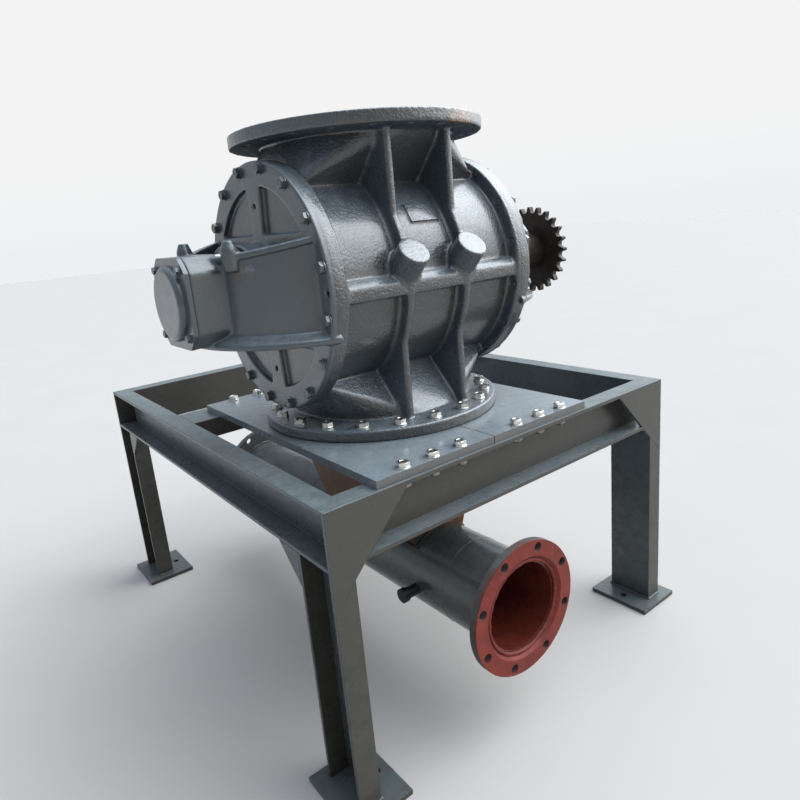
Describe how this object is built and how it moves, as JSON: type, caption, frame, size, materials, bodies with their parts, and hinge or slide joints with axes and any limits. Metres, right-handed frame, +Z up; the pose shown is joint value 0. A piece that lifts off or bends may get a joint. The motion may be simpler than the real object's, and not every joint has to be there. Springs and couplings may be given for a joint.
{
  "type": "rotary airlock valve",
  "caption": "Cast rotary airlock valve with flanged inlet and outlet, ribbed barrel, outboard bearings and chain sprocket, on a channel-steel stand over a flanged conveying pipe.",
  "frame": {"origin": "centre of the four floor anchor holes, on the floor under the foot plates", "axes": "+X along the rotor shaft towards the sprocket, +Y to the back of the stand, away from the pipe's front flange, +Z up through the inlet flange"},
  "size_m": [1.22, 1.501, 1.399],
  "materials": {
    "casting_paint": "gloss paint over a rough sand casting",
    "frame_paint": "semi-gloss paint on rolled steel",
    "red_primer": "matt red-oxide primer",
    "zinc_plate": "bright zinc plating",
    "machined_steel": "turned and ground",
    "sprocket_steel": "dark, lightly rusted and oily",
    "black_iron": "black oxide",
    "rubber": "matt",
    "packing_braid": "greased braid"
  },
  "bodies": {
    "stand": {"back_beam": "frame_paint", "bearing_cap_left": "casting_paint", "bearing_cap_right": "casting_paint", "bearing_outer_ring_left": "machined_steel", "bearing_outer_ring_right": "machined_steel", "cap_bolts_left": "casting_paint", "cap_bolts_right": "casting_paint", "conveying_pipe": "frame_paint", "corner_gussets": "frame_paint", "cover_bolts_left": "zinc_plate", "cover_bolts_right": "zinc_plate", "cover_gasket_left": "rubber", "cover_gasket_right": "rubber", "cross_beam": "frame_paint", "drain_plug": "black_iron", "drop_chute": "frame_paint", "end_cover_left": "casting_paint", "end_cover_right": "casting_paint", "foot_plates": "frame_paint", "front_beam": "frame_paint", "gland_follower_left": "machined_steel", "gland_follower_right": "machined_steel", "gland_nuts_left": "zinc_plate", "gland_nuts_right": "zinc_plate", "gland_studs_left": "zinc_plate", "gland_studs_right": "zinc_plate", "housing": "casting_paint", "left_beam": "frame_paint", "leg_back_left": "frame_paint", "leg_back_right": "frame_paint", "leg_front_left": "frame_paint", "leg_front_right": "frame_paint", "outlet_flange_bolts": "zinc_plate", "outlet_flange_nuts": "zinc_plate", "packing_rings_left": "packing_braid", "packing_rings_right": "packing_braid", "pipe_flange_back": "red_primer", "pipe_flange_front": "red_primer", "pipe_spool_back": "frame_paint", "pipe_spool_front": "frame_paint", "right_beam": "frame_paint", "shaft_seal": "rubber", "side_gussets": "frame_paint", "support_plate_bolts": "zinc_plate", "support_plate_left": "frame_paint", "support_plate_nuts": "zinc_plate", "support_plate_right": "frame_paint"},
    "rotor": {"bearing_inner_ring_left": "machined_steel", "bearing_inner_ring_right": "machined_steel", "bearing_rollers_left": "machined_steel", "bearing_rollers_right": "machined_steel", "drive_key": "machined_steel", "rotor": "machined_steel", "shaft": "machined_steel", "shaft_end_bolt": "machined_steel", "shaft_end_plate": "machined_steel", "sprocket": "sprocket_steel"}
  },
  "joints": [
    {"name": "rotor_spin", "type": "hinge", "parent": "stand", "child": "rotor", "pos_m": [-0.105, -0.281, 1.051], "axis": [1, 0, 0], "continuous": true}
  ]
}
